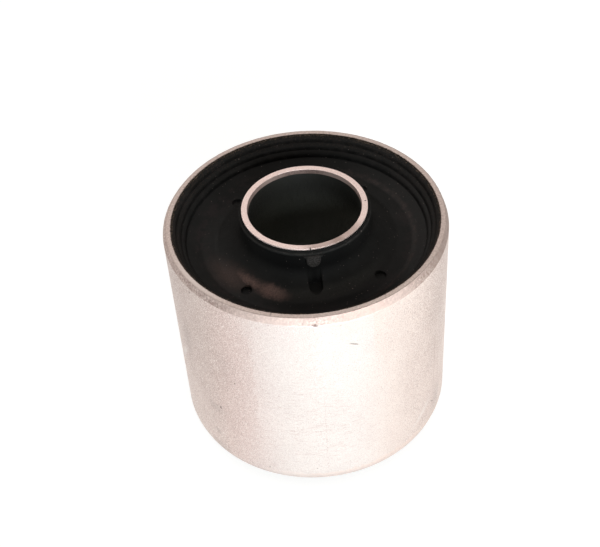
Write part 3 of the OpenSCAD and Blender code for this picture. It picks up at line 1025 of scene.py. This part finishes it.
def inner_steel():
    """Bare sawn end faces on a tube whose bore is black, with a brownish band of painted shade inside each mouth and
    painted light deeper in the bore.
    """
    finish = Finish("sawn_tube")
    fine = finish.grain(0.25, 0.5)
    coarse = finish.grain(0.8, 0.45)
    level = finish.math("ABSOLUTE", finish.height)
    face = finish.glinted(fine, (0.76, 0.57, 0.52, 1.0), (1.0, 0.80, 0.75, 1.0), (1.0, 0.93, 0.90, 1.0))
    face = finish.blend(finish.times(coarse, 0.2), face, (0.66, 0.49, 0.44, 1.0))
    dull = finish.times(finish.marks(finish.radius, SAW_DULL), 0.75)
    face = finish.blend(dull, face, (0.50, 0.38, 0.34, 1.0))
    stains = finish.times(finish.marks(finish.radius, SAW_STAINS), 0.6)
    face = finish.blend(stains, face, (0.36, 0.26, 0.22, 1.0))
    notches = finish.marks(finish.radius, SAW_NOTCHES)
    face = finish.blend(notches, face, (0.02, 0.016, 0.014, 1.0))
    # Painted shade: the bare chamfer inside each mouth is painted dark brownish, and lighter at the back right and
    # back left where light falls on it
    band = finish.glinted(fine, (0.15, 0.10, 0.09, 1.0), (0.24, 0.17, 0.15, 1.0), (0.36, 0.26, 0.23, 1.0))
    painted_lighting = finish.times(finish.marks(finish.radius, MOUTH_LIGHT), 0.8)
    band = finish.blend(painted_lighting, band, (0.68, 0.51, 0.46, 1.0))
    # Painted light: the black bore is lighter deeper down and towards the right
    depth = finish.ramp(level, INNER_END - 4.0, INNER_END - 16.0)
    black = finish.blend(depth, (0.014, 0.014, 0.012, 1.0), (0.062, 0.064, 0.052, 1.0))
    deeper = finish.ramp(level, INNER_END - 13.0, INNER_END - 28.0)
    black = finish.blend(deeper, black, (0.14, 0.143, 0.118, 1.0))
    lightened = finish.times(finish.ramp(finish.parts(finish.position)["X"], -4.0, 11.0), 0.8)
    black = finish.blend(finish.times(lightened, depth), black, (0.16, 0.16, 0.14, 1.0))
    in_mouth = finish.ramp(level, INNER_END - MOUTH_Z - 0.12, INNER_END - MOUTH_Z + 0.05)
    on_face = finish.ramp(level, INNER_END - 0.12, INNER_END - 0.03)
    on_bore = finish.ramp(finish.radius, BORE_R + 0.35, BORE_R + 0.25)
    colour = finish.blend(in_mouth, black, band)
    colour = finish.blend(on_face, colour, face)
    colour = finish.blend(on_bore, face, colour)
    bare = finish.math("MAXIMUM", in_mouth, finish.math("SUBTRACT", 1.0, on_bore))
    grainy = finish.math("MULTIPLY_ADD", fine, 0.6, finish.times(coarse, 0.4))
    finish.set(Base_Color=colour, Metallic=finish.times(bare, 0.75), Roughness=finish.ramp(grainy, 0.2, 0.8, 0.40, 0.58))
    finish.bump(finish.math("MULTIPLY_ADD", notches, -3.0, grainy), 0.05, 0.6)
    return finish.material


# Stage

def white_stage(name):
    """A new material with its node tree emptied, and a bench for that tree."""
    material = bpy.data.materials.new(name)
    material.use_nodes = True
    bench = Bench(material.node_tree)
    bench.tree.nodes.clear()
    return material, bench


def seen_directly(bench):
    path = bench.node("ShaderNodeLightPath").outputs
    mirrored = bench.math("MAXIMUM", path["Is Glossy Ray"], path["Is Transmission Ray"])
    return path["Is Camera Ray"], mirrored


def make_floor():
    material, bench = white_stage("white_floor")
    camera_ray, mirrored = seen_directly(bench)
    shade = bench.blend(camera_ray, (0.8, 0.8, 0.8, 1.0), (0.25, 0.25, 0.25, 1.0))
    paper = bench.node("ShaderNodeBsdfDiffuse", {"Color": shade}).outputs[0]
    level = bench.math("ADD", bench.math("MULTIPLY", camera_ray, 0.86), bench.math("MULTIPLY", mirrored, FLOOR_GLOW))
    glow = bench.node("ShaderNodeEmission", {"Color": (1.0, 1.0, 0.99, 1.0), "Strength": level}).outputs[0]
    both = bench.node("ShaderNodeAddShader", {0: paper, 1: glow}).outputs[0]
    bench.node("ShaderNodeOutputMaterial", {"Surface": both})
    mesh = bpy.data.meshes.new("floor")
    reach, level = 6.0, -(INNER_END + 0.05) * MM
    mesh.from_pydata([(x * reach, y * reach, level) for x, y in ((-1, -1), (1, -1), (1, 1), (-1, 1))], [], [(0, 1, 2, 3)])
    mesh.materials.append(material)
    put_object("floor", mesh)


# Patches of the sky: where they lie, the angles from there at which they end and are full, and their level
SKY = (
    ((0.0, 0.0, 1.0), 53.0, 18.0, 0.62),
    ((-0.6, 0.62, 0.5), 45.0, 12.0, 1.30),
    ((0.0, 0.75, 0.66), 40.0, 10.0, 0.2),
    ((0.6, 0.62, 0.5), 45.0, 12.0, 0.42),
)
RIM_GLOW, FLOOR_GLOW = 0.42, 0.35


def make_world():
    world = bpy.data.worlds.new("studio")
    world.use_nodes = True
    bpy.context.scene.world = world
    bench = Bench(world.node_tree)
    bench.tree.nodes.clear()
    camera_ray, mirrored = seen_directly(bench)
    direction = bench.node("ShaderNodeTexCoord").outputs["Generated"]
    up = bench.parts(direction)["Z"]
    room = bench.math("MULTIPLY", mirrored, bench.ramp(up, 0.0, 0.4, RIM_GLOW, 0.0))
    for aim, wide, narrow, level in SKY:
        towards = bench.node("ShaderNodeVectorMath", {0: direction, 1: Vector(aim).normalized()},
                             operation="DOT_PRODUCT").outputs["Value"]
        patch = bench.ramp(towards, math.cos(math.radians(wide)), math.cos(math.radians(narrow)), 0.0, level)
        room = bench.math("ADD", room, patch)
    white = bench.node("ShaderNodeBackground", {"Color": (1.0, 1.0, 0.99, 1.0), "Strength": 1.0}).outputs[0]
    soft = bench.node("ShaderNodeBackground", {"Color": (1.0, 0.95, 0.91, 1.0), "Strength": room}).outputs[0]
    both = bench.node("ShaderNodeMixShader", {0: camera_ray, 1: soft, 2: white}).outputs[0]
    bench.node("ShaderNodeOutputWorld", {"Surface": both})


def soft_box(name, place, size, power, colour=(1.0, 1.0, 1.0)):
    lamp = bpy.data.lights.new(name, "AREA")
    lamp.shape = "SQUARE"
    lamp.size = size
    lamp.energy = power
    lamp.color = colour
    box = put_object(name, lamp)
    box.location = place
    box.rotation_euler = (-Vector(place)).to_track_quat("-Z", "Y").to_euler()


CAMERA_PLACE = Vector((-0.00214, -0.20521, 0.20884))
CAMERA_TILT, CAMERA_ROLL = math.radians(44.11), math.radians(-4.268)
CAMERA_LENS = 71.2056


def make_camera():
    ahead = Vector((0.0, math.cos(CAMERA_TILT), -math.sin(CAMERA_TILT)))
    up = Vector((0.0, math.sin(CAMERA_TILT), math.cos(CAMERA_TILT)))
    right = Vector((1.0, 0.0, 0.0))
    roll = Matrix.Rotation(CAMERA_ROLL, 3, -ahead)
    turn = Matrix((roll @ right, roll @ up, -ahead)).transposed().to_4x4()
    camera = put_object("camera", bpy.data.cameras.new("camera"))
    camera.data.sensor_width = 36.0
    camera.data.lens = CAMERA_LENS
    camera.data.clip_start = 0.01
    camera.matrix_world = Matrix.Translation(CAMERA_PLACE) @ turn
    bpy.context.scene.camera = camera


def stand_for(piece, node):
    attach(piece, "root")
    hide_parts(node)


bpy.context.scene.view_settings.view_transform = "Standard"
make_camera()
make_floor()
make_world()
soft_box("front_box", (0.15, -0.75, 0.12), 0.60, 9.6, (0.90, 0.97, 1.0))
soft_box("right_box", (0.70, -0.20, 0.35), 0.60, 1.12, (1.0, 0.92, 0.83))

sleeve = turned_piece("outer_sleeve_shell", outer_sleeve_outline(), outer_steel(), 360, 32.0, 1.0,
                      CHAMFER_LEAN_ANGLE)
stand_for(sleeve, "outer_sleeve")
stand_for(make_rubber(rubber()), "rubber_body")
tube = turned_piece("inner_sleeve_tube", inner_sleeve_outline(), inner_steel(), 300, 16.0, 2.0)
stand_for(tube, "inner_sleeve")
